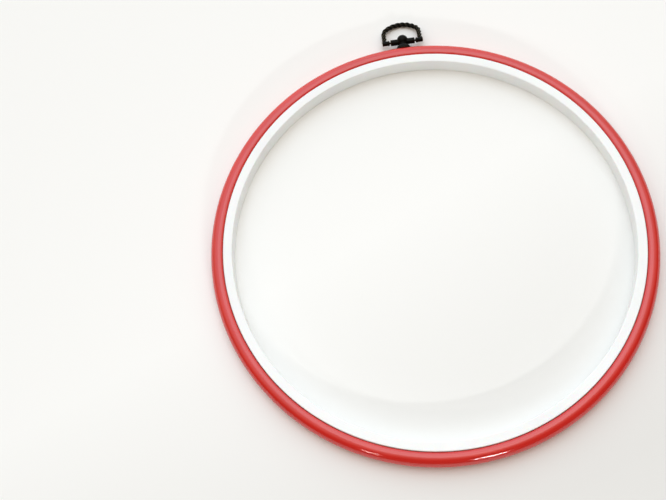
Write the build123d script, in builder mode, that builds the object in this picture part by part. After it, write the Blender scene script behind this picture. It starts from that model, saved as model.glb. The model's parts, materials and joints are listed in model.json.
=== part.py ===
from build123d import *
import os
from math import asin, atan2, cos, degrees, sin, sqrt

# Flexible-rim embroidery hoop: a rigid inner ring, a soft outer ring that stretches over it,
# and a small swivelling hanger whose bow lets the finished work hang like a picture.
#
# The hoop lies flat on a table with its front face up. The origin is the centre of the rings
# in the table plane, +Z goes up through the front face and +Y goes out through the hanger.
# All sizes are in millimetres.

# ---- Driving dimensions ---------------------------------------------------------------------

# Rigid inner ring
inner_ring_d = 200.0  # outside diameter, the size that the hoop is known by (8 in)
inner_ring_wall = 4.5  # radial width of its flat front face
ring_height = 8.8  # front to back, the same on both rings
edge_round = 0.5  # rounding of its two front edges
lip_width = 0.9  # retaining lip round the back edge, under the soft ring
lip_height = 1.0

# Soft outer ring, a D in section
ring_gap = 0.2  # radial gap between the two rings
outer_ring_wall = 6.2  # radial depth of the D at its middle
crest_from_inside = 2.1  # from the inner face of the D to the crest of its front
inner_roll = 0.9  # how far the rounded inner edge drops below the crest
lip_clearance = 0.25  # round the retaining lip

# Hanger, centred on the height of the rings and standing out along +Y
collar_d = 7.6  # domed foot that spreads the load on the soft ring
collar_rise = 1.5  # how far the foot stands out of the ring
collar_rim = 0.5  # thickness of the foot at its edge
seat_depth = 0.95  # spot face that the foot is pulled down into
seat_clearance = 0.2
neck_d = 4.4  # foot of the neck, where it turns on the collar
waist_d = 3.9  # narrowest part of the neck
ball_d = 5.7
crossbar_out = 4.15  # crossbar axis, beyond the outermost circle of the ring
ball_offset = 0.8  # ball centre, beyond the crossbar axis
barrel_d = 3.1
barrel_span = 12.4  # end to end of the two barrels
barrel_chamfer = 0.2
turning_gap = 0.05  # between flat faces that turn on each other

# Bow, with its two pins
bow_width = 20.9  # over the ends of its corners
bow_reach = 13.6  # from the pivot axis to the outside of its arch
bow_limb = 6.1  # straight length of each limb, from the pivot axis to the shoulder
shoulder_radius = 4.6  # centreline radius of the two shoulders
wire_d = 2.5
stub_d = 2.35  # plain ends that turn in towards the pins
stub_round = 0.3
stub_overhang = 0.1  # of the stub's end beyond the limb
bead_d = 2.7
bead_width = 1.3
bead_bulge = 0.45
bead_gap = 0.45  # from the barrel's end to the bead, where the pin shows
pin_d = 1.0
pin_length = 3.2  # inside the barrel
pin_clearance = 0.08  # radial, in the barrel's bore
pin_end_gap = 0.3
table_clearance = 0.05  # under the bow's lowest point

# Screw and washer inside the soft ring
screw_d = 2.0
screw_clearance = 0.1  # radial, in the washer, the ring and the collar
thread_clearance = 0.02
thread_length = 3.0  # engaged in the neck and the ball
thread_end_gap = 0.3
screw_head_d = 3.8
screw_head_height = 1.2
screw_head_round = 0.3
screw_slot_width = 0.5
screw_slot_depth = 0.5
screw_recess = 0.25  # screw head below the inner face of the soft ring
washer_d = 4.5
washer_thickness = 0.3
pocket_clearance = 0.2
overcut = 1.0  # of an open cut, past the surface that it opens

# ---- Places worked out from them ------------------------------------------------------------

mid_height = ring_height / 2
inner_ring_r = inner_ring_d / 2
opening_r = inner_ring_r - inner_ring_wall
lip_r = inner_ring_r + lip_width
soft_inner_r = inner_ring_r + ring_gap
soft_crest_r = soft_inner_r + crest_from_inside
soft_outer_r = soft_inner_r + outer_ring_wall
rebate_r = lip_r + lip_clearance
rebate_height = lip_height + lip_clearance

# Distances from the hoop's axis, out along the stud
screw_head_top = soft_inner_r + screw_recess
screw_seat = screw_head_top + screw_head_height
washer_face = screw_seat + turning_gap
pocket_floor = washer_face + washer_thickness
collar_seat = soft_outer_r - seat_depth
collar_top = soft_outer_r + collar_rise
neck_foot = collar_top + turning_gap
crossbar = soft_outer_r + crossbar_out
ball_centre = crossbar + ball_offset
neck_top = ball_centre - sqrt(ball_d**2 - neck_d**2) / 2
screw_tip = neck_foot + thread_length
screw_bore_r = screw_d / 2 + screw_clearance

# Distances from the hanger's middle, out along the crossbar
barrel_end = barrel_span / 2
bead_x = barrel_end + bead_gap
stub_x = bead_x + bead_width
stub_end = bow_width / 2
limb_x = stub_end - stub_overhang - wire_d / 2

# Centreline of the bow's arch: two shoulders and a flatter top arc, tangent to each other
bow_tip = bow_reach - wire_d / 2
arch_rise = bow_tip - bow_limb
shoulder_x = limb_x - shoulder_radius
top_radius = (shoulder_x**2 + arch_rise**2 - shoulder_radius**2) / (2 * (arch_rise - shoulder_radius))
shoulder_turn = degrees(atan2(top_radius - arch_rise, shoulder_x))
top_turn = 180 - 2 * shoulder_turn

# The bow hangs down until its arch rests on the table
bow_drop = asin((mid_height - wire_d / 2 - table_clearance) / bow_tip)

# stud looks out along +Y from the hoop's axis, and crossbar_plane along +X from the hanger.
# Both sections hold the stud's axis as their Y axis, one lying flat and one standing up.
stud = Plane(origin=(0, 0, mid_height), x_dir=(1, 0, 0), z_dir=(0, 1, 0))
stud_axis = Axis((0, 0, mid_height), (0, 1, 0))
hanger_section = Plane.XY.offset(mid_height)
upright_section = Plane(origin=(0, 0, mid_height), x_dir=(0, 0, 1), z_dir=(-1, 0, 0))
pivot_point = (0, crossbar, mid_height)
pivot_axis = Axis(pivot_point, (1, 0, 0))
crossbar_plane = Plane(origin=pivot_point, x_dir=(0, 1, 0), z_dir=(1, 0, 0))
bow_plane = Plane(origin=pivot_point, x_dir=(1, 0, 0), z_dir=(0, sin(bow_drop), cos(bow_drop)))


# ---- Rigid inner ring -----------------------------------------------------------------------

with BuildPart() as inner_ring:
    with BuildSketch(Plane.XZ):
        with BuildLine():
            Polyline(
                (opening_r, 0),
                (lip_r, 0),
                (lip_r, lip_height),
                (inner_ring_r, lip_height),
                (inner_ring_r, ring_height),
                (opening_r, ring_height),
                close=True,
            )
        make_face()
    revolve(axis=Axis.Z)
    front_edges = inner_ring.edges().group_by(Axis.Z)[-1]
    fillet(front_edges, radius=edge_round)


# ---- Soft outer ring ------------------------------------------------------------------------

with BuildPart() as outer_ring:
    # D section: half an ellipse outside, and a small roll at each inner edge
    with BuildSketch(Plane.XZ):
        with BuildLine():
            front_roll = (soft_crest_r, ring_height - inner_roll)
            back_roll = (soft_crest_r, inner_roll)
            bulge = (soft_crest_r, mid_height)
            EllipticalCenterArc(bulge, soft_outer_r - soft_crest_r, mid_height, -90, arc_size=180)
            EllipticalCenterArc(front_roll, crest_from_inside, inner_roll, 90, arc_size=90)
            Line((soft_inner_r, ring_height - inner_roll), (soft_inner_r, inner_roll))
            EllipticalCenterArc(back_roll, crest_from_inside, inner_roll, 180, arc_size=90)
        make_face()
        # rebate that drops over the retaining lip
        with Locations((rebate_r, 0)):
            Rectangle(
                rebate_r - opening_r,
                2 * rebate_height,
                align=(Align.MAX, Align.CENTER),
                mode=Mode.SUBTRACT,
            )
    revolve(axis=Axis.Z)
    # spot face for the collar
    with BuildSketch(stud.offset(collar_seat)):
        Circle(collar_d / 2 + seat_clearance)
    extrude(amount=seat_depth + overcut, mode=Mode.SUBTRACT)
    # pocket for the screw's head and washer, and the bore beyond it
    with BuildSketch(stud.offset(pocket_floor)):
        Circle(washer_d / 2 + pocket_clearance)
    extrude(amount=opening_r - pocket_floor, mode=Mode.SUBTRACT)
    with BuildSketch(stud.offset(pocket_floor)):
        Circle(screw_bore_r)
    extrude(amount=outer_ring_wall, mode=Mode.SUBTRACT)


# ---- Hanger collar: a domed foot, clamped on the soft ring ----------------------------------

with BuildPart() as hanger_collar:
    with BuildSketch(hanger_section):
        dome_foot = collar_seat + collar_rim
        with BuildLine():
            EllipticalCenterArc(
                (neck_d / 2, dome_foot), (collar_d - neck_d) / 2, collar_top - dome_foot, 0, arc_size=90
            )
            Polyline(
                (neck_d / 2, collar_top),
                (screw_bore_r, collar_top),
                (screw_bore_r, collar_seat),
                (collar_d / 2, collar_seat),
                (collar_d / 2, dome_foot),
            )
        make_face()
    revolve(axis=stud_axis)


# ---- Hanger head: neck, ball and two hollow barrels, cast in one ----------------------------

with BuildPart() as hanger_head:
    with BuildSketch(upright_section):
        with BuildLine():
            neck_foot_corner = (neck_d / 2, neck_foot)
            neck_top_corner = (neck_d / 2, neck_top)
            ball_end = (0, ball_centre + ball_d / 2)
            ThreePointArc(neck_foot_corner, (waist_d / 2, (neck_foot + neck_top) / 2), neck_top_corner)
            ThreePointArc(neck_top_corner, (ball_d / 2, ball_centre), ball_end)
            Polyline(ball_end, (0, neck_foot), neck_foot_corner)
        make_face()
    revolve(axis=stud_axis)
    with BuildSketch(crossbar_plane.offset(-barrel_end)):
        Circle(barrel_d / 2)
    extrude(amount=barrel_span)
    barrel_rims = hanger_head.edges().filter_by(GeomType.CIRCLE)
    end_rims = [rim for rim in barrel_rims if abs(abs(rim.center().X) - barrel_end) < barrel_chamfer]
    chamfer(end_rims, barrel_chamfer)
    # bores for the bow's pins
    for side in (-1, 1):
        with BuildSketch(crossbar_plane.offset(side * barrel_end)):
            Circle(pin_d / 2 + pin_clearance)
        extrude(amount=-side * (pin_length + pin_end_gap), mode=Mode.SUBTRACT)
    # threaded hole for the screw
    with BuildSketch(stud.offset(neck_foot)):
        Circle(screw_d / 2 + thread_clearance)
    extrude(amount=thread_length + thread_end_gap, mode=Mode.SUBTRACT)


# ---- Hanger bow: arch, plain ends, beads and pins, one piece --------------------------------

with BuildPart() as hanger_bow:
    with BuildLine(bow_plane) as arch:
        limb = Line((limb_x, 0), (limb_x, bow_limb))
        shoulder = JernArc(limb @ 1, limb % 1, shoulder_radius, shoulder_turn)
        crown = JernArc(shoulder @ 1, shoulder % 1, top_radius, top_turn)
        far_shoulder = JernArc(crown @ 1, crown % 1, shoulder_radius, shoulder_turn)
        Line(far_shoulder @ 1, bow_plane.from_local_coords((-limb_x, 0)))
    with BuildSketch(Plane(origin=arch.line @ 0, z_dir=arch.line % 0)):
        Circle(wire_d / 2)
    sweep(path=arch.line)
    # one end: pin, bead and plain stub, turned about the pivot axis
    with BuildSketch(hanger_section):
        with BuildLine():
            bead_side = crossbar + bead_d / 2 - bead_bulge
            stub_side = crossbar + stub_d / 2
            pin_side = crossbar + pin_d / 2
            Polyline(
                (stub_end, stub_side - stub_round),
                (stub_end, crossbar),
                (barrel_end - pin_length, crossbar),
                (barrel_end - pin_length, pin_side),
                (bead_x, pin_side),
                (bead_x, bead_side),
            )
            ThreePointArc(
                (bead_x, bead_side),
                (bead_x + bead_width / 2, bead_side + bead_bulge),
                (stub_x, bead_side),
            )
            Polyline((stub_x, bead_side), (stub_x, stub_side), (stub_end - stub_round, stub_side))
            RadiusArc((stub_end - stub_round, stub_side), (stub_end, stub_side - stub_round), stub_round)
        make_face()
    revolve(axis=pivot_axis)
    mirror(about=Plane.YZ)


# ---- Hanger screw, from inside the ring into the neck ---------------------------------------

with BuildPart() as hanger_screw:
    with BuildSketch(stud.offset(screw_head_top)):
        Circle(screw_head_d / 2)
    extrude(amount=screw_head_height)
    fillet(hanger_screw.edges().sort_by(Axis.Y)[0], radius=screw_head_round)
    with BuildSketch(stud.offset(screw_head_top)):
        Rectangle(screw_head_d + 2 * overcut, screw_slot_width)
    extrude(amount=screw_slot_depth, mode=Mode.SUBTRACT)
    with BuildSketch(stud.offset(screw_seat)):
        Circle(screw_d / 2)
    extrude(amount=screw_tip - screw_seat)


# ---- Washer between the screw's head and the soft ring --------------------------------------

with BuildPart() as hanger_washer:
    with BuildSketch(stud.offset(washer_face)):
        Circle(washer_d / 2)
        Circle(screw_bore_r, mode=Mode.SUBTRACT)
    extrude(amount=washer_thickness)


# ---- Labels and files -----------------------------------------------------------------------

inner_ring.part.label = "inner_ring"
outer_ring.part.label = "outer_ring"
hanger_collar.part.label = "hanger_collar"
hanger_head.part.label = "hanger_head"
hanger_bow.part.label = "hanger_bow"
hanger_screw.part.label = "hanger_screw"
hanger_washer.part.label = "hanger_washer"

os.makedirs("parts", exist_ok=True)
export_step(inner_ring.part, "parts/inner_ring.step")
export_step(outer_ring.part, "parts/outer_ring.step")
export_step(hanger_collar.part, "parts/hanger_collar.step")
export_step(hanger_head.part, "parts/hanger_head.step")
export_step(hanger_bow.part, "parts/hanger_bow.step")
export_step(hanger_screw.part, "parts/hanger_screw.step")
export_step(hanger_washer.part, "parts/hanger_washer.step")
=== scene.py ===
# Embroidery hoop: the looks of a rigid white ring, a soft red ring stretched over it, and a small
# antiqued hanger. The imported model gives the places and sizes, and each piece is modelled on them.
import json
from math import atan2, cos, pi, radians, sin, tan

import bmesh
import bpy
from bpy.props import FloatProperty, FloatVectorProperty, IntProperty, PointerProperty
from mathutils import Euler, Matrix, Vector


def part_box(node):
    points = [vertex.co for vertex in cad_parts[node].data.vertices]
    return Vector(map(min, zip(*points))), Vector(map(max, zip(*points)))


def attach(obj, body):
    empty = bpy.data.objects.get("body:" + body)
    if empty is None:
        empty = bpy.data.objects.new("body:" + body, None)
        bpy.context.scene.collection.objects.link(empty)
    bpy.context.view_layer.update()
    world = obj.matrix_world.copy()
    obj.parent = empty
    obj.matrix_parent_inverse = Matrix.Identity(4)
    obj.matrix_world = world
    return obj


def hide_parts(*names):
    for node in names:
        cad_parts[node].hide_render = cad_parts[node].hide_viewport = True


bl_info = {
    "name": "Embroidery hoop",
    "version": (1, 0, 0),
    "blender": (4, 5, 0),
    "location": "View3D > Sidebar > Hoop",
    "description": "Models the pieces of a soft-rim embroidery hoop and the stage it lies on",
    "category": "Add Mesh",
}

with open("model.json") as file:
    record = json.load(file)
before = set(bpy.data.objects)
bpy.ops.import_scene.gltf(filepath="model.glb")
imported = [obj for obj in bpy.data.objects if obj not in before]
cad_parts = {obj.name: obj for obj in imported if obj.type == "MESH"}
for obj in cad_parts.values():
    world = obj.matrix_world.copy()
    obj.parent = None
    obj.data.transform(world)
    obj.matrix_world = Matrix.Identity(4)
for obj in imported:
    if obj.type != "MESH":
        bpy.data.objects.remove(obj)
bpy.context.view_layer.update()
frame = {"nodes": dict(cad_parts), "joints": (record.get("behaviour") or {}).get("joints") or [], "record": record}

MM = 0.001
HAIR = 0.001 * MM  # two places closer than this are the same

# Small low lamps: turn from +X and rise in degrees, length, width, and share of the lamp strength
LAMPS = {
    "long_lamp": (-78.0, 21.6, 210 * MM, 30 * MM, 1.0),
    "short_lamp": (-118.0, 25.5, 90 * MM, 30 * MM, 0.25),
}

# Painted shade: the table's colour gets paler along this way in its plane, between these two distances from the
# middle, in place of light that falls off towards the viewer
SHADE_FALLOFF_WAY = (-0.4, 0.92, 0.0)
SHADE_FALLOFF_FROM = -130 * MM
SHADE_FALLOFF_TO = 20 * MM

# Places that the frame gives, in metres
JOINTS = {joint["name"]: joint for joint in frame["joints"]}
MOUNTS = {mount["name"]: mount for mount in frame["record"]["mounts"]}
RIGID_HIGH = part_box("inner_ring")[1]
SOFT_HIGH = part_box("outer_ring")[1]
COLLAR_LOW, COLLAR_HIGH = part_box("hanger_collar")
HEAD_LOW, HEAD_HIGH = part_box("hanger_head")
BOW_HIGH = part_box("hanger_bow")[1]
WASHER_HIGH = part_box("hanger_washer")[1]
OPENING_RADIUS = MOUNTS["inner_opening"]["dims"]["r_mm"] * MM
PIVOT = Vector(JOINTS["bow_swing"]["pos_m"])
CROWN_INSIDE = Vector(MOUNTS["hanging_bow"]["pos_m"])
OUTWARD = (CROWN_INSIDE - PIVOT).normalized()  # from the crossbar to the middle of the bow's crown


def linear(code):
    """An sRGB colour written as hex, as the linear red, green, blue and alpha that shaders take."""
    shares = [int(code[i:i + 2], 16) / 255 for i in (1, 3, 5)]
    return tuple(c / 12.92 if c <= 0.04045 else ((c + 0.055) / 1.055) ** 2.4 for c in shares) + (1.0,)


def length(name, description, millimetres):
    """A length that a user may change, kept in metres."""
    return FloatProperty(
        name=name, description=description, default=millimetres * MM, min=0.0, precision=5,
        subtype="DISTANCE", unit="LENGTH",
    )


def angle(name, description, degrees):
    """An angle that a user may change, kept in radians."""
    return FloatProperty(
        name=name, description=description, default=radians(degrees), subtype="ANGLE", unit="ROTATION",
    )


def colour(name, description, code):
    """A colour that a user may change."""
    return FloatVectorProperty(
        name=name, description=description, default=linear(code), size=4, min=0.0, max=1.0, subtype="COLOR",
    )


# ---- Settings --------------------------------------------------------------------------------

class RingSettings(bpy.types.PropertyGroup):
    """Sizes and colours of the two rings."""

    rigid_radius: length("Rigid ring radius", "Outside of the rigid ring, above its lip", 100.0)
    front_round: length("Front rounding", "Rounding of the rigid ring's two front edges", 0.5)
    back_round: length("Back rounding", "Rounding of the rigid ring's back edges and its lip", 0.15)
    lip_height: length("Lip height", "Height of the retaining lip at the back of the rigid ring", 1.0)
    ring_gap: length("Ring gap", "Gap between the two rings", 0.2)
    crest: length("Crest", "From the soft ring's inner face to the crest of its front", 2.1)
    roll: length("Inner roll", "Drop of the soft ring's rounded inner edge", 0.9)
    heel: length("Heel", "Rise of the soft ring's back towards its inner face", 0.3)
    lip_clearance: length("Lip clearance", "Room round the retaining lip", 0.25)
    parting_line: length("Parting line", "Height of the fine mould line round the soft ring", 0.04)
    wander: length("Wander", "How far the soft ring's skin wanders from a true ring", 0.03)
    wander_span: length("Wander span", "Distance over which the skin wanders", 28.0)
    seat_radius: length("Seat radius", "Flat seat of the foot on the soft ring", 4.0)
    pocket_radius: length("Pocket radius", "Pocket for the screw's head in the soft ring's inner face", 2.45)
    steps: IntProperty(name="Steps", description="Faces round each ring", default=360, min=32)
    section_sides: IntProperty(
        name="Section sides", description="Faces round the soft ring's section, a multiple of 4",
        default=96, min=16,
    )
    vinyl: colour("Vinyl", "Colour of the soft ring", "#D12924")
    plastic: colour("Plastic", "Colour of the rigid ring", "#F3F7F8")


class HangerSettings(bpy.types.PropertyGroup):
    """Sizes and colours of the hanger."""

    collar_rim: length("Collar rim", "Thickness of the foot at its rim", 0.5)
    clear_bore: length("Clearance bore", "Radius of the bore that the screw passes", 1.1)
    thread_bore: length("Thread bore", "Radius of the threaded hole in the head", 1.02)
    thread_depth: length("Thread depth", "Depth of the threaded hole", 3.3)
    neck_radius: length("Neck radius", "Foot of the neck, on the collar", 2.2)
    waist_radius: length("Waist radius", "Narrowest part of the neck", 1.95)
    ball_radius: length("Ball radius", "Ball of the head", 2.85)
    barrel_radius: length("Barrel radius", "Barrels that hold the bow's pins", 1.55)
    barrel_chamfer: length("Barrel chamfer", "Chamfer on the ends of the barrels", 0.2)
    pin_bore: length("Pin bore", "Radius of the bores in the barrels", 0.58)
    pin_bore_depth: length("Pin bore depth", "Depth of the bores in the barrels", 3.5)
    pin_radius: length("Pin radius", "Pins that turn in the barrels", 0.5)
    pin_tip: length("Pin tip", "From the middle of the hanger to the tip of each pin", 3.0)
    bead_start: length("Bead start", "From the middle of the hanger to the near side of each bead", 6.65)
    bead_width: length("Bead width", "Width of each bead along the crossbar", 1.3)
    bead_radius: length("Bead radius", "Largest radius of each bead", 1.35)
    bead_bulge: length("Bead bulge", "How far a bead swells above its sides", 0.45)
    stub_radius: length("Stub radius", "Plain end of the bow, beyond each bead", 1.175)
    stub_round: length("Stub rounding", "Rounding of the plain ends", 0.3)
    wire_radius: length("Wire radius", "Rope-twist wire of the bow, over its strands", 1.25)
    groove: length("Groove", "Depth of the grooves between the strands", 0.55)
    limb_reach: length("Limb reach", "From the middle of the hanger to the middle of each limb", 9.1)
    limb_length: length("Limb length", "Straight part of each limb", 6.1)
    shoulder_radius: length("Shoulder radius", "Radius of the bow's shoulders, on the wire's middle", 4.6)
    crown_pitch: length("Crown pitch", "Distance from strand to strand along the crown", 2.6)
    limb_pitch: length("Limb pitch", "Distance from strand to strand along the limbs", 1.9)
    strands: IntProperty(name="Strands", description="Strands in the rope twist", default=3, min=2)
    patina: colour("Patina", "Dark antiquing in the hollows", "#0F0D0A")
    bronze: colour("Bronze", "Rubbed metal on the high spots", "#6F6340")
    zinc: colour("Zinc", "Plating of the screw and washer", "#C9CBCC")


class StageSettings(bpy.types.PropertyGroup):
    """The table, the light and the camera."""

    # The table's colour runs from the first of these colours to the second, a painted shade standing in for light
    # falling off towards the viewer
    table_unshaded: colour("Far table", "Colour of the table on the hanger's side", "#F8FAF9")
    table_painted_shade: colour("Near table", "Colour of the table on the other side", "#E3E4E2")
    backdrop: colour("Backdrop", "Colour of the room where the camera sees it", "#FAFAF9")
    table_drop: length(
        "Table drop", "How far the table lies below the hoop's back, so that they don't flicker", 0.05,
    )
    table_size: length("Table size", "Side of the square table", 8000.0)
    window_lean: angle(
        "Window lean", "How far the wide soft light leans from overhead to the hanger's side", 16.0,
    )
    window_width: angle("Window width", "Width of the wide soft light as the hoop sees it", 40.0)
    window_strength: FloatProperty(
        name="Window strength", description="Strength of the soft light", default=0.33,
    )
    ceiling_lean: angle(
        "Ceiling lean", "How far the ceiling light leans from overhead to the hanger's side", -1.0,
    )
    ceiling_width: angle("Ceiling width", "Width of the ceiling light as the hoop sees it", 28.0)
    ceiling_strength: FloatProperty(
        name="Ceiling strength", description="Strength of the ceiling light", default=0.1,
    )
    side_lean: angle("Side lean", "How far both overhead lights lean to the right", 4.5)
    bright_turn: angle("Bright side", "Direction of the bright side of the room, from +X towards +Y", 100.0)
    bright_rise: angle("Bright height", "Height of the middle of the bright side", 50.0)
    bright_edge: FloatProperty(
        name="Bright edge", description="Cosine off the bright side up to which it is full", default=0.98,
    )
    dim_edge: FloatProperty(
        name="Dim edge", description="Cosine off the bright side from which all is dim", default=0.15,
    )
    bright_strength: FloatProperty(
        name="Bright strength", description="Light from the bright side", default=1.86,
    )
    dim_strength: FloatProperty(
        name="Dim strength", description="Light from the dim side of the room", default=0.12,
    )
    bright_tint: colour("Bright tint", "Tint of the bright side's light", "#E6F3FF")
    dim_tint: colour("Dim tint", "Tint of the dim side's light", "#FFD6A0")
    lamp_distance: length("Lamp distance", "Distance of the two small lamps", 1200.0)
    lamp_strength: FloatProperty(
        name="Lamp strength", description="Power of the larger small lamp", default=0.12,
    )
    lamp_spread: angle("Lamp spread", "Angle into which the small lamps shine", 40.0)
    camera_place: FloatVectorProperty(
        name="Camera place", description="Where the camera stands", size=3,
        default=(-28.021 * MM, -172.777 * MM, 482.413 * MM), subtype="TRANSLATION", unit="LENGTH",
    )
    camera_turn: FloatVectorProperty(
        name="Camera turn", description="How the camera is turned", size=3,
        default=(radians(19.7557), radians(4.4733), radians(-5.9674)), subtype="EULER", unit="ROTATION",
    )
    lens: FloatProperty(name="Lens", description="Focal length in millimetres", default=57.405, min=1.0)


# ---- Modelling, as by hand -------------------------------------------------------------------

def begin(primitive, name, **options):
    """Adds a primitive as a new piece, puts its place into its mesh, and opens it in edit mode."""
    bpy.ops.object.select_all(action="DESELECT")
    primitive(**options)
    piece = bpy.context.object
    piece.name = piece.data.name = name
    bpy.ops.object.transform_apply(location=True, rotation=True, scale=True)
    bpy.ops.object.mode_set(mode="EDIT")
    bpy.ops.mesh.select_all(action="SELECT")
    return piece


def pick(kind, test):
    """Selects the vertices, edges or faces of the mesh in edit mode that pass the test."""
    bpy.ops.mesh.select_mode(type=kind)
    bpy.ops.mesh.select_all(action="DESELECT")
    mesh = bmesh.from_edit_mesh(bpy.context.edit_object.data)
    for element in {"VERT": mesh.verts, "EDGE": mesh.edges, "FACE": mesh.faces}[kind]:
        if test(element):
            element.select_set(True)
    mesh.select_flush_mode()
    bmesh.update_edit_mesh(bpy.context.edit_object.data)


def close_up():
    """Merges what coincides, turns every face outwards and leaves edit mode."""
    bpy.ops.mesh.select_mode(type="VERT")
    bpy.ops.mesh.select_all(action="SELECT")
    bpy.ops.mesh.remove_doubles(threshold=HAIR)
    bpy.ops.mesh.normals_make_consistent(inside=False)
    bpy.ops.object.mode_set(mode="OBJECT")


def choose(piece, *others):
    """Selects one piece as the active one, with any others."""
    bpy.ops.object.select_all(action="DESELECT")
    for each in (piece, *others):
        each.select_set(True)
    bpy.context.view_layer.objects.active = piece


def modify(piece, kind, **settings):
    """Adds a modifier with its settings and applies it."""
    choose(piece)
    modifier = piece.modifiers.new(kind.lower(), kind)
    for name, value in settings.items():
        setattr(modifier, name, value)
    bpy.ops.object.modifier_apply(modifier=modifier.name)


def cut(piece, cutter):
    """Cuts one piece with another, which is then removed."""
    modify(piece, "BOOLEAN", object=cutter, operation="DIFFERENCE", solver="EXACT")
    bpy.data.objects.remove(cutter)


def clouds(name, span):
    """A soft random texture for displacement, whose lumps are about as far apart as the span."""
    texture = bpy.data.textures.new(name, "CLOUDS")
    texture.noise_scale = span
    return texture


def turn_section(steps):
    """Spins the outline of the flat section in edit mode once round the hoop's axis."""
    bpy.ops.mesh.select_mode(type="FACE")
    bpy.ops.mesh.select_all(action="SELECT")
    bpy.ops.mesh.dissolve_faces()
    bpy.ops.mesh.delete(type="ONLY_FACE")
    bpy.ops.mesh.select_mode(type="EDGE")
    bpy.ops.mesh.select_all(action="SELECT")
    bpy.ops.mesh.spin(steps=steps, angle=2 * pi, center=(0, 0, 0), axis=(0, 0, 1))
    close_up()


def smooth(piece, sharp_from):
    """Shades a piece smooth but for its sharp edges, and keeps its flat faces flat."""
    choose(piece)
    bpy.ops.object.shade_smooth_by_angle(angle=radians(sharp_from))
    modify(piece, "WEIGHTED_NORMAL", keep_sharp=True)


def turned(name, axis, stations, sides=64, ring=False):
    """A round piece on the crossbar's axis, "X", or the screw's, "Y": a circle extruded through its stations.

    A station is a place along the axis and a radius. A ring's last station is its first one again.
    """
    along = Vector((1, 0, 0)) if axis == "X" else Vector((0, 1, 0))
    foot = PIVOT - along * PIVOT.dot(along)
    place, radius = stations[0]
    piece = begin(
        bpy.ops.mesh.primitive_circle_add, name, vertices=sides, radius=radius,
        fill_type="NOTHING" if ring else "NGON", location=foot + along * place,
        rotation=(0, pi / 2, 0) if axis == "X" else (-pi / 2, 0, 0),
    )
    for next_place, next_radius in stations[1:]:
        bpy.ops.mesh.extrude_region_move(
            TRANSFORM_OT_translate={"value": along * (next_place - place)},
        )
        share = next_radius / radius
        bpy.ops.transform.resize(value=(share,) * 3, center_override=foot + along * next_place)
        place, radius = next_place, next_radius
    close_up()
    return piece


def round_stations(centre, radius, low, high, count, base=0.0, width=None):
    """Stations over a round or elliptical bulge, from one angle to another off its widest place.

    The bulge stands on the base radius, and is as wide to each side as it is high unless a width is given.
    """
    turns = [radians(low + (high - low) * i / (count - 1)) for i in range(count)]
    return [(centre + (width or radius) * sin(turn), base + radius * cos(turn)) for turn in turns]


def cast_skin(piece, cell, passes, grain):
    """Gives overlapping shapes the one soft skin of a casting, with melted corners and a faint unevenness.

    Remeshing takes no cell under 0.1 mm, so the piece is enlarged while it is remeshed.
    """
    enlarge = 10.0
    choose(piece)
    piece.scale = (enlarge,) * 3
    bpy.ops.object.transform_apply(location=False, rotation=False, scale=True)
    modify(piece, "REMESH", mode="VOXEL", voxel_size=cell * enlarge, use_smooth_shade=True)
    piece.scale = (1 / enlarge,) * 3
    bpy.ops.object.transform_apply(location=False, rotation=False, scale=True)
    modify(piece, "SMOOTH", factor=0.5, iterations=passes)
    modify(
        piece, "DISPLACE", texture=clouds(piece.name + "_grain", 0.9 * MM), texture_coords="LOCAL",
        strength=grain, mid_level=0.5,
    )


def mark_wear(piece):
    """Writes an attribute that is light on the high spots, which hands rub, and dark in the hollows."""
    choose(piece)
    bpy.ops.geometry.color_attribute_add(
        name="wear", domain="CORNER", data_type="FLOAT_COLOR", color=(1, 1, 1, 1),
    )
    bpy.ops.paint.vertex_color_dirt(
        blur_strength=1.0, blur_iterations=4, dirt_angle=radians(86.5), clean_angle=radians(93.5),
        normalize=False,
    )


def hand_over(piece, body, node, material):
    """Gives a finished piece its material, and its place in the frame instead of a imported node."""
    piece.data.materials.clear()
    piece.data.materials.append(material)
    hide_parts(node)
    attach(piece, body)


# ---- Materials -------------------------------------------------------------------------------

def add(tree, kind, inputs={}, output=0, **settings):
    """Adds a shader node with its settings, sets or links its inputs, and gives back one of its outputs."""
    node = tree.nodes.new("ShaderNode" + kind)
    for name, value in settings.items():
        setattr(node, name, value)
    for socket, value in inputs.items():
        if isinstance(value, bpy.types.NodeSocket):
            tree.links.new(value, node.inputs[socket])
        else:
            node.inputs[socket].default_value = value
    return node.outputs[output] if node.outputs else None


def new_material(name):
    """An empty material, with its node tree and the place on the piece that its patterns are laid out on."""
    material = bpy.data.materials.new(name)
    material.use_nodes = True
    tree = material.node_tree
    tree.nodes.clear()
    return material, tree, add(tree, "TexCoord", output="Object")


def per(millimetres):
    """The scale at which a pattern's marks are that far apart."""
    return 1 / (millimetres * MM)


def darker(code, share):
    """The same colour with less light in it."""
    return tuple(c * share for c in code[:3]) + (1.0,)


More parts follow.
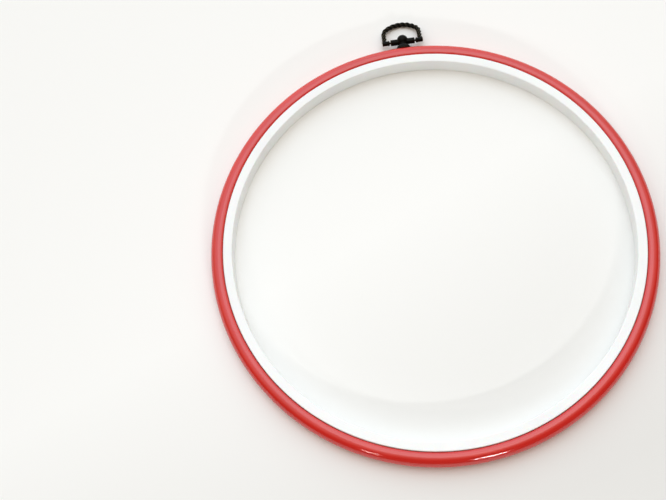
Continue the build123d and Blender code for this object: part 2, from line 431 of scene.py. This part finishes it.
def soft_moulded_vinyl(settings):
    """Plasticised vinyl from a polished mould: deep even colour under a clear gloss.

    The eye gets a colour that is a little uneven where the melt flowed, and a gloss dulled by handling.
    """
    material, tree, place = new_material("soft_moulded_vinyl")
    flow = add(tree, "TexNoise", {"Vector": place, "Scale": per(22.0), "Detail": 2.0})
    flow = add(tree, "MapRange", {"Value": flow, "From Min": 0.3, "From Max": 0.7})
    red = add(
        tree, "Mix", {0: flow, 6: darker(settings.vinyl, 0.93), 7: tuple(settings.vinyl)},
        2, data_type="RGBA",
    )
    handled = add(tree, "TexNoise", {"Vector": place, "Scale": per(3.0), "Detail": 4.0})
    gloss = add(
        tree, "MapRange", {"Value": handled, "From Min": 0.3, "From Max": 0.7, "To Min": 0.05, "To Max": 0.1},
    )
    skin = add(tree, "TexNoise", {"Vector": place, "Scale": per(0.6), "Detail": 3.0})
    relief = add(tree, "Bump", {"Height": skin, "Distance": 0.004 * MM})
    surface = add(tree, "BsdfPrincipled", {
        "Base Color": red, "Roughness": gloss, "IOR": 1.53, "Specular IOR Level": 0.65, "Normal": relief,
    })
    add(tree, "OutputMaterial", {"Surface": surface})
    return material


def moulded_polystyrene(settings):
    """High-impact polystyrene from a satin mould: bright white, a little cool, with a milky depth.

    The eye gets a soft satin sheen and a slightly greyer tone where it has been handled.
    """
    material, tree, place = new_material("moulded_polystyrene")
    handled = add(tree, "TexNoise", {"Vector": place, "Scale": per(35.0), "Detail": 3.0})
    handled = add(tree, "MapRange", {"Value": handled, "From Min": 0.45, "From Max": 0.75})
    white = add(
        tree, "Mix", {0: handled, 6: tuple(settings.plastic), 7: darker(settings.plastic, 0.965)}, 2,
        data_type="RGBA",
    )
    worn = add(tree, "TexNoise", {"Vector": place, "Scale": per(5.0), "Detail": 4.0})
    satin = add(
        tree, "MapRange", {"Value": worn, "From Min": 0.3, "From Max": 0.7, "To Min": 0.42, "To Max": 0.52},
    )
    skin = add(tree, "TexNoise", {"Vector": place, "Scale": per(0.5), "Detail": 3.0})
    relief = add(tree, "Bump", {"Height": skin, "Distance": 0.004 * MM})
    surface = add(tree, "BsdfPrincipled", {
        "Base Color": white, "Roughness": satin, "IOR": 1.59, "Subsurface Weight": 0.12,
        "Subsurface Scale": 1.2 * MM, "Normal": relief,
    })
    add(tree, "OutputMaterial", {"Surface": surface})
    return material


def antiqued_casting(settings):
    """Zinc alloy casting, bronze plated, blackened and rubbed back.

    The eye gets near-black hollows and a warm olive metal that shows on the high spots, broken by fine grain.
    """
    material, tree, place = new_material("antiqued_bronze_casting")
    high = add(tree, "Attribute", output="Fac", attribute_name="wear")
    high = add(tree, "MapRange", {"Value": high, "From Min": 0.55, "From Max": 1.0})
    grain = add(tree, "TexNoise", {"Vector": place, "Scale": per(0.5), "Detail": 5.0, "Roughness": 0.65})
    broken = add(tree, "Math", {0: high, 1: grain}, operation="MULTIPLY")
    rubbed = add(tree, "MapRange", {"Value": broken, "From Min": 0.25, "From Max": 0.85})
    smut = add(tree, "TexNoise", {"Vector": place, "Scale": per(1.6), "Detail": 2.0})
    smut = add(tree, "MapRange", {"Value": smut, "From Min": 0.3, "From Max": 0.7})
    dark = add(
        tree, "Mix", {0: smut, 6: tuple(settings.patina), 7: darker(settings.patina, 0.5)},
        2, data_type="RGBA",
    )
    metal = add(tree, "Mix", {0: rubbed, 6: dark, 7: tuple(settings.bronze)}, 2, data_type="RGBA")
    polish = add(tree, "MapRange", {"Value": rubbed, "To Min": 0.42, "To Max": 0.27})
    relief = add(tree, "Bump", {"Height": grain, "Distance": 0.015 * MM})
    surface = add(tree, "BsdfPrincipled", {
        "Base Color": metal, "Roughness": polish, "Metallic": 0.85, "Normal": relief,
    })
    add(tree, "OutputMaterial", {"Surface": surface})
    return material


def zinc_plated_steel(settings):
    """Turned steel parts, bright zinc plated: a cool metal, faintly blotched where the plating varies."""
    material, tree, place = new_material("zinc_plated_steel")
    blotches = add(tree, "TexNoise", {"Vector": place, "Scale": per(0.8), "Detail": 3.0})
    blotches = add(tree, "MapRange", {"Value": blotches, "From Min": 0.3, "From Max": 0.7})
    zinc = add(
        tree, "Mix", {0: blotches, 6: darker(settings.zinc, 0.8), 7: tuple(settings.zinc)},
        2, data_type="RGBA",
    )
    marks = add(tree, "TexNoise", {"Vector": place, "Scale": per(0.3), "Detail": 4.0})
    polish = add(
        tree, "MapRange", {"Value": marks, "From Min": 0.3, "From Max": 0.7, "To Min": 0.22, "To Max": 0.38},
    )
    skin = add(tree, "TexNoise", {"Vector": place, "Scale": per(0.15), "Detail": 2.0})
    relief = add(tree, "Bump", {"Height": skin, "Distance": 0.003 * MM})
    surface = add(tree, "BsdfPrincipled", {
        "Base Color": zinc, "Roughness": polish, "Metallic": 1.0, "Normal": relief,
    })
    add(tree, "OutputMaterial", {"Surface": surface})
    return material


def matt_table(settings):
    """A painted table top: pale and matt, with a tooth too fine to see; its colour greys towards the viewer as a
    painted shade of light falling off.
    """
    material, tree, place = new_material("matt_table_with_painted_shade")
    # Painted shade: the colour greys towards the viewer in place of light falling off from the bright side
    far = add(tree, "VectorMath", {0: place, 1: SHADE_FALLOFF_WAY}, "Value", operation="DOT_PRODUCT")
    far = add(tree, "MapRange", {"Value": far, "From Min": SHADE_FALLOFF_FROM, "From Max": SHADE_FALLOFF_TO})
    paint = add(
        tree, "Mix", {0: far, 6: tuple(settings.table_painted_shade), 7: tuple(settings.table_unshaded)},
        2, data_type="RGBA",
    )
    tooth = add(tree, "TexNoise", {"Vector": place, "Scale": per(0.8), "Detail": 3.0})
    relief = add(tree, "Bump", {"Height": tooth, "Distance": 0.01 * MM})
    surface = add(tree, "BsdfPrincipled", {
        "Base Color": paint, "Roughness": 0.9, "Specular IOR Level": 0.2, "Normal": relief,
    })
    add(tree, "OutputMaterial", {"Surface": surface})
    return material


# ---- Operators -------------------------------------------------------------------------------

class HOOP_OT_rigid_ring(bpy.types.Operator):
    """Models the rigid white ring: its wall, the rounded front edges and the retaining lip round its back"""

    bl_idname = "hoop.rigid_ring"
    bl_label = "Rigid Ring"
    bl_options = {"REGISTER", "UNDO"}

    def execute(self, context):
        rings = context.scene.hoop_rings
        outside, lip = rings.rigid_radius, rings.lip_height
        wall = outside - OPENING_RADIUS
        ring = begin(
            bpy.ops.mesh.primitive_plane_add, "rigid_ring", size=wall,
            location=(OPENING_RADIUS + wall / 2, 0, wall / 2), rotation=(pi / 2, 0, 0),
        )
        bpy.ops.transform.resize(value=(1, 1, RIGID_HIGH.z / wall), center_override=(0, 0, 0))
        bpy.ops.mesh.bisect(plane_co=(0, 0, lip), plane_no=(0, 0, 1))
        pick("EDGE", lambda e: all(v.co.x > outside - HAIR and v.co.z < lip + HAIR for v in e.verts))
        bpy.ops.mesh.extrude_edges_move(TRANSFORM_OT_translate={"value": (RIGID_HIGH.x - outside, 0, 0)})
        pick("VERT", lambda v: v.co.z > RIGID_HIGH.z - HAIR)
        bpy.ops.mesh.bevel(offset=rings.front_round, segments=8, affect="VERTICES")
        pick("VERT", lambda v: v.co.x > outside + HAIR or v.co.x < OPENING_RADIUS + HAIR and v.co.z < HAIR)
        bpy.ops.mesh.bevel(offset=rings.back_round, segments=4, affect="VERTICES")
        turn_section(rings.steps)
        smooth(ring, sharp_from=40)
        hand_over(ring, "inner_ring", "inner_ring", moulded_polystyrene(rings))
        return {"FINISHED"}


class HOOP_OT_soft_ring(bpy.types.Operator):
    """Models the soft red ring: its D section, the rebate over the lip, and the hanger's seat and pocket"""

    bl_idname = "hoop.soft_ring"
    bl_label = "Soft Ring"
    bl_options = {"REGISTER", "UNDO"}

    def execute(self, context):
        rings, hanger = context.scene.hoop_rings, context.scene.hoop_hanger
        top = SOFT_HIGH.z
        middle = top / 2
        crest = rings.rigid_radius + rings.ring_gap + rings.crest
        ring = begin(
            bpy.ops.mesh.primitive_circle_add, "soft_ring", vertices=rings.section_sides, radius=middle,
            fill_type="NGON", location=(crest, 0, middle), rotation=(pi / 2, 0, 0),
        )
        pick("VERT", lambda v: v.co.x > crest + HAIR)
        bpy.ops.transform.resize(
            value=((SOFT_HIGH.x - crest) / middle, 1, 1), center_override=(crest, 0, middle),
        )
        pick("VERT", lambda v: v.co.x < crest - HAIR and v.co.z > middle - HAIR)
        bpy.ops.transform.resize(
            value=(rings.crest / middle, 1, rings.roll / middle), center_override=(crest, 0, top),
        )
        pick("VERT", lambda v: v.co.x < crest - HAIR and v.co.z < middle - HAIR)
        bpy.ops.transform.resize(
            value=(rings.crest / middle, 1, rings.heel / middle), center_override=(crest, 0, 0),
        )
        pick("VERT", lambda v: v.co.x > SOFT_HIGH.x - HAIR)
        bpy.ops.transform.translate(value=(rings.parting_line, 0, 0))

        rebate_radius = RIGID_HIGH.x + rings.lip_clearance
        rebate_height = rings.lip_height + rings.lip_clearance
        for place, normal in (((rebate_radius, 0, 0), (1, 0, 0)), ((0, 0, rebate_height), (0, 0, 1))):
            bpy.ops.mesh.select_all(action="SELECT")
            bpy.ops.mesh.bisect(plane_co=place, plane_no=normal)
        pick(
            "FACE",
            lambda f: all(v.co.x < rebate_radius + HAIR and v.co.z < rebate_height + HAIR for v in f.verts),
        )
        bpy.ops.mesh.delete(type="FACE")
        turn_section(rings.steps)
        modify(
            ring, "DISPLACE", texture=clouds("wander", rings.wander_span), texture_coords="LOCAL",
            strength=2 * rings.wander, mid_level=0.5,
        )
        bore, pocket, seat = hanger.clear_bore, rings.pocket_radius, rings.seat_radius
        cut(ring, turned("hanger_cutter", "Y", [
            (OPENING_RADIUS, pocket), (WASHER_HIGH.y, pocket), (WASHER_HIGH.y, bore),
            (COLLAR_LOW.y, bore), (COLLAR_LOW.y, seat), (HEAD_HIGH.y, seat),
        ]))
        smooth(ring, sharp_from=35)
        hand_over(ring, "outer_ring", "outer_ring", soft_moulded_vinyl(rings))
        return {"FINISHED"}


class HOOP_OT_collar(bpy.types.Operator):
    """Models the domed foot that the head stands on"""

    bl_idname = "hoop.collar"
    bl_label = "Domed Foot"
    bl_options = {"REGISTER", "UNDO"}

    def execute(self, context):
        hanger = context.scene.hoop_hanger
        seat, top, rim = COLLAR_LOW.y, COLLAR_HIGH.y, COLLAR_HIGH.x
        bore, neck = hanger.clear_bore, hanger.neck_radius
        soft = 0.08 * MM  # a worn edge
        shoulder = seat + hanger.collar_rim
        dome = round_stations(shoulder, rim - neck, 0, 90, 16, base=neck, width=top - shoulder)
        collar = turned("domed_foot", "Y", [
            (seat, bore), (seat, rim - soft), (seat + soft, rim), *dome, (top, bore), (seat, bore),
        ], ring=True)
        cast_skin(collar, cell=0.08 * MM, passes=3, grain=0.03 * MM)
        mark_wear(collar)
        hand_over(collar, "outer_ring", "hanger_collar", antiqued_casting(hanger))
        return {"FINISHED"}


class HOOP_OT_head(bpy.types.Operator):
    """Models the head: neck, ball and the two hollow barrels, cast in one"""

    bl_idname = "hoop.head"
    bl_label = "Head"
    bl_options = {"REGISTER", "UNDO"}

    def execute(self, context):
        hanger = context.scene.hoop_hanger
        ball, neck, waist = hanger.ball_radius, hanger.neck_radius, hanger.waist_radius
        barrel, chamfer, reach = hanger.barrel_radius, hanger.barrel_chamfer, HEAD_HIGH.x
        foot, centre = HEAD_LOW.y, HEAD_HIGH.y - ball
        flare = round_stations(foot + 0.9 * MM, waist - neck, -90, 0, 6, base=neck, width=0.9 * MM)
        head = turned("cast_head", "Y", flare + round_stations(centre, ball, -42, 89.9, 40))
        crossbar = turned("crossbar", "X", [
            (-reach, barrel - chamfer), (chamfer - reach, barrel), (reach - chamfer, barrel),
            (reach, barrel - chamfer),
        ])
        choose(head, crossbar)
        bpy.ops.object.join()
        cast_skin(head, cell=0.07 * MM, passes=6, grain=0.03 * MM)
        for side in (-1, 1):
            mouth = side * reach
            cut(head, turned("bore_cutter", "X", [
                (mouth - side * hanger.pin_bore_depth, hanger.pin_bore),
                (mouth - side * chamfer, hanger.pin_bore),
                (mouth + side * chamfer, hanger.pin_bore + 2 * chamfer),
            ]))
        cut(head, turned("thread_cutter", "Y", [
            (foot - HAIR * 100, hanger.thread_bore), (foot + hanger.thread_depth, hanger.thread_bore),
        ]))
        mark_wear(head)
        hand_over(head, "hanger_head", "hanger_head", antiqued_casting(hanger))
        return {"FINISHED"}


class HOOP_OT_bow(bpy.types.Operator):
    """Models the bow: a rope-twist arch with plain inturned ends, beads and pins, cast in one"""

    bl_idname = "hoop.bow"
    bl_label = "Bow"
    bl_options = {"REGISTER", "UNDO"}

    def strand_outline(self, hanger):
        """The outline across the strands, as a closed curve: round bulges that meet in grooves."""
        bpy.ops.object.select_all(action="DESELECT")
        bpy.ops.mesh.primitive_circle_add(vertices=16 * hanger.strands, radius=hanger.wire_radius)
        outline = bpy.context.object
        for corner in outline.data.vertices:
            turn = atan2(corner.co.y, corner.co.x)
            hollow = 1 - abs(cos(hanger.strands * turn / 2))
            corner.co *= 1 - hollow * hanger.groove / hanger.wire_radius
        bpy.ops.object.convert(target="CURVE")
        return outline

    def arch_points(self, hanger):
        """The right half of the arch: each point's place in the bow's plane, direction and distance along."""
        reach, limb, shoulder = hanger.limb_reach, hanger.limb_length, hanger.shoulder_radius
        tip = (CROWN_INSIDE - PIVOT).length + hanger.wire_radius
        inset, rest = reach - shoulder, tip - shoulder
        crown_centre = (rest ** 2 - limb ** 2 - inset ** 2) / (2 * (rest - limb))
        crown = tip - crown_centre
        turn = atan2(limb - crown_centre, inset)
        meeting = Vector((crown * cos(turn), crown_centre + crown * sin(turn)))
        along = limb + shoulder * turn
        return [
            (Vector((reach, 0)), 0.0, 0.0, limb / 3, limb / 3),
            (Vector((reach, limb)), 0.0, limb, limb / 3, 4 / 3 * tan(turn / 4) * shoulder),
            (
                meeting, turn, along,
                4 / 3 * tan(turn / 4) * shoulder, 4 / 3 * tan((pi / 2 - turn) / 4) * crown,
            ),
            (
                Vector((0, tip)), pi / 2, along + crown * (pi / 2 - turn),
                4 / 3 * tan((pi / 2 - turn) / 4) * crown, 4 / 3 * tan((pi / 2 - turn) / 4) * crown,
            ),
        ]

    def execute(self, context):
        hanger = context.scene.hoop_hanger
        outline = self.strand_outline(hanger)
        half = self.arch_points(hanger)
        whole = half[-1][2]
        points = list(half)
        for place, turn, along, before, after in reversed(half[:-1]):
            points.append((Vector((-place.x, place.y)), pi - turn, 2 * whole - along, after, before))

        bpy.ops.object.select_all(action="DESELECT")
        bpy.ops.curve.primitive_bezier_curve_add()
        arch = bpy.context.object
        arch.name = "rope_bow"
        arch.location = (0, 0, 0)
        curve = arch.data
        curve.dimensions = "3D"
        curve.twist_mode = "MINIMUM"
        curve.bevel_mode = "OBJECT"
        curve.bevel_object = outline
        curve.use_fill_caps = True
        curve.resolution_u = 40
        spline = curve.splines[0]
        spline.tilt_interpolation = "LINEAR"
        spline.bezier_points.add(len(points) - len(spline.bezier_points))
        tilt, last = 0.0, None
        for point, (place, turn, along, before, after) in zip(spline.bezier_points, points):
            on_a_limb = min(along, 2 * whole - along) <= hanger.limb_length
            pace = hanger.limb_pitch if on_a_limb else hanger.crown_pitch
            if last is not None:
                tilt += 2 * pi * (along - last[0]) / (hanger.strands * (pace + last[1]) / 2)
            last = (along, pace)
            heading = Vector((-sin(turn), cos(turn)))
            point.handle_left_type = point.handle_right_type = "FREE"
            for name, flat in (("co", place), ("handle_left", place - heading * before),
                               ("handle_right", place + heading * after)):
                setattr(point, name, PIVOT + Vector((flat.x, 0, 0)) + OUTWARD * flat.y)
            point.tilt = tilt
            point.radius = 0.97 + 0.03 * min(along, 2 * whole - along) / whole
        choose(arch)
        bpy.ops.object.convert(target="MESH")
        bpy.data.objects.remove(outline)

        ends = []
        bead, stub = hanger.bead_start, hanger.stub_radius
        flank = hanger.bead_radius - hanger.bead_bulge
        for side in (-1, 1):
            stations = [
                (hanger.pin_tip, hanger.pin_radius * 0.8),
                (hanger.pin_tip + hanger.pin_radius * 0.2, hanger.pin_radius),
                (bead, hanger.pin_radius),
                *round_stations(
                    bead + hanger.bead_width / 2, hanger.bead_bulge, -90, 90, 12, base=flank,
                    width=hanger.bead_width / 2,
                ),
                (bead + hanger.bead_width, stub),
                *round_stations(
                    BOW_HIGH.x - hanger.stub_round, hanger.stub_round, 0, 90, 5,
                    base=stub - hanger.stub_round,
                ),
            ]
            ends.append(turned("bow_end", "X", [(side * place, radius) for place, radius in stations]))
        choose(arch, *ends)
        bpy.ops.object.join()
        cast_skin(arch, cell=0.08 * MM, passes=3, grain=0.03 * MM)
        mark_wear(arch)
        hand_over(arch, "hanger_bow", "hanger_bow", antiqued_casting(hanger))
        return {"FINISHED"}


class HOOP_OT_fasteners(bpy.types.Operator):
    """Gives the hidden screw and washer, whose shapes are right as packed, their plating"""

    bl_idname = "hoop.fasteners"
    bl_label = "Screw and Washer"
    bl_options = {"REGISTER", "UNDO"}

    def execute(self, context):
        plating = zinc_plated_steel(context.scene.hoop_hanger)
        for name in ("hanger_screw", "hanger_washer"):
            for slot in frame["nodes"][name].material_slots:
                slot.material = plating
        return {"FINISHED"}


class HOOP_OT_stage(bpy.types.Operator):
    """Sets out the table, the light and the camera"""

    bl_idname = "hoop.stage"
    bl_label = "Stage"
    bl_options = {"REGISTER", "UNDO"}

    def execute(self, context):
        stage = context.scene.hoop_stage
        table = begin(
            bpy.ops.mesh.primitive_plane_add, "table", size=stage.table_size,
            location=(0, 0, -stage.table_drop),
        )
        bpy.ops.object.mode_set(mode="OBJECT")
        table.data.materials.append(matt_table(stage))

        self.overhead("window", stage.window_lean, stage.side_lean, stage.window_width, stage.window_strength)
        self.overhead(
            "ceiling", stage.ceiling_lean, stage.side_lean, stage.ceiling_width, stage.ceiling_strength,
        )
        for name, (turn, rise, length_of_lamp, width, share) in LAMPS.items():
            self.small_lamp(
                name, stage, radians(turn), radians(rise), (length_of_lamp, width),
                stage.lamp_strength * share,
            )
        self.room(context.scene, stage)

        bpy.ops.object.camera_add(location=stage.camera_place, rotation=Euler(stage.camera_turn))
        camera = bpy.context.object
        camera.data.lens = stage.lens
        context.scene.camera = camera
        context.scene.view_settings.view_transform = "Standard"
        return {"FINISHED"}

    def towards(self, turn, rise):
        """The direction of a light from the hoop."""
        return Vector((cos(turn) * cos(rise), sin(turn) * cos(rise), sin(rise)))

    def overhead(self, name, lean, side_lean, width, strength):
        """A wide, soft light from overhead."""
        source = Vector((tan(side_lean), tan(lean), 1))
        bpy.ops.object.light_add(
            type="SUN", location=source, rotation=source.to_track_quat("Z", "Y").to_euler(),
        )
        light = bpy.context.object
        light.name = name
        light.data.energy = strength
        light.data.angle = width

    def small_lamp(self, name, stage, turn, rise, sides, power):
        """A small lamp low over the table, which leaves a bright streak on the soft ring's gloss."""
        source = self.towards(turn, rise) * stage.lamp_distance
        bpy.ops.object.light_add(
            type="AREA", location=source, rotation=source.to_track_quat("Z", "Y").to_euler(),
        )
        lamp = bpy.context.object
        lamp.name = name
        lamp.data.shape = "RECTANGLE"
        lamp.data.size, lamp.data.size_y = sides
        lamp.data.energy = power
        lamp.data.spread = stage.lamp_spread

    def room(self, scene, stage):
        """Soft light from all round, bright on one side, dim and warm on the other, and a pale backdrop."""
        world = bpy.data.worlds.new("room")
        scene.world = world
        world.use_nodes = True
        tree = world.node_tree
        tree.nodes.clear()
        bright = self.towards(stage.bright_turn, stage.bright_rise)
        ray = add(tree, "TexCoord", output="Generated")
        facing = add(tree, "VectorMath", {0: ray, 1: bright}, "Value", operation="DOT_PRODUCT")
        share = add(
            tree, "MapRange", {"Value": facing, "From Min": stage.dim_edge, "From Max": stage.bright_edge},
        )
        tint = add(
            tree, "Mix", {0: share, 6: tuple(stage.dim_tint), 7: tuple(stage.bright_tint)},
            2, data_type="RGBA",
        )
        strength = add(
            tree, "MapRange", {"Value": share, "To Min": stage.dim_strength, "To Max": stage.bright_strength},
        )
        light = add(tree, "Background", {"Color": tint, "Strength": strength})
        backdrop = add(tree, "Background", {"Color": tuple(stage.backdrop), "Strength": 1.0})
        seen = add(tree, "LightPath", output="Is Camera Ray")
        both = add(tree, "MixShader", {0: seen, 1: light, 2: backdrop})
        add(tree, "OutputWorld", {"Surface": both})


class HOOP_PT_sidebar(bpy.types.Panel):
    """Lists the pieces and their sizes in the 3D view's sidebar"""

    bl_idname = "HOOP_PT_sidebar"
    bl_label = "Embroidery Hoop"
    bl_space_type = "VIEW_3D"
    bl_region_type = "UI"
    bl_category = "Hoop"

    def draw(self, context):
        for operator in OPERATORS:
            self.layout.operator(operator.bl_idname)
        for settings in (context.scene.hoop_rings, context.scene.hoop_hanger, context.scene.hoop_stage):
            box = self.layout.box()
            for name in settings.__annotations__:
                box.prop(settings, name)


# ---- Registration ----------------------------------------------------------------------------

SETTINGS = {"hoop_rings": RingSettings, "hoop_hanger": HangerSettings, "hoop_stage": StageSettings}
OPERATORS = (
    HOOP_OT_rigid_ring, HOOP_OT_soft_ring, HOOP_OT_collar, HOOP_OT_head, HOOP_OT_bow, HOOP_OT_fasteners,
    HOOP_OT_stage,
)


def register():
    for kind in (*SETTINGS.values(), *OPERATORS, HOOP_PT_sidebar):
        bpy.utils.register_class(kind)
    for name, kind in SETTINGS.items():
        setattr(bpy.types.Scene, name, PointerProperty(type=kind))


def unregister():
    for name in SETTINGS:
        delattr(bpy.types.Scene, name)
    for kind in (HOOP_PT_sidebar, *reversed(OPERATORS), *SETTINGS.values()):
        bpy.utils.unregister_class(kind)


def main():
    register()
    for operator in OPERATORS:
        group, name = operator.bl_idname.split(".")
        getattr(getattr(bpy.ops, group), name)()


if __name__ == "__main__":
    main()
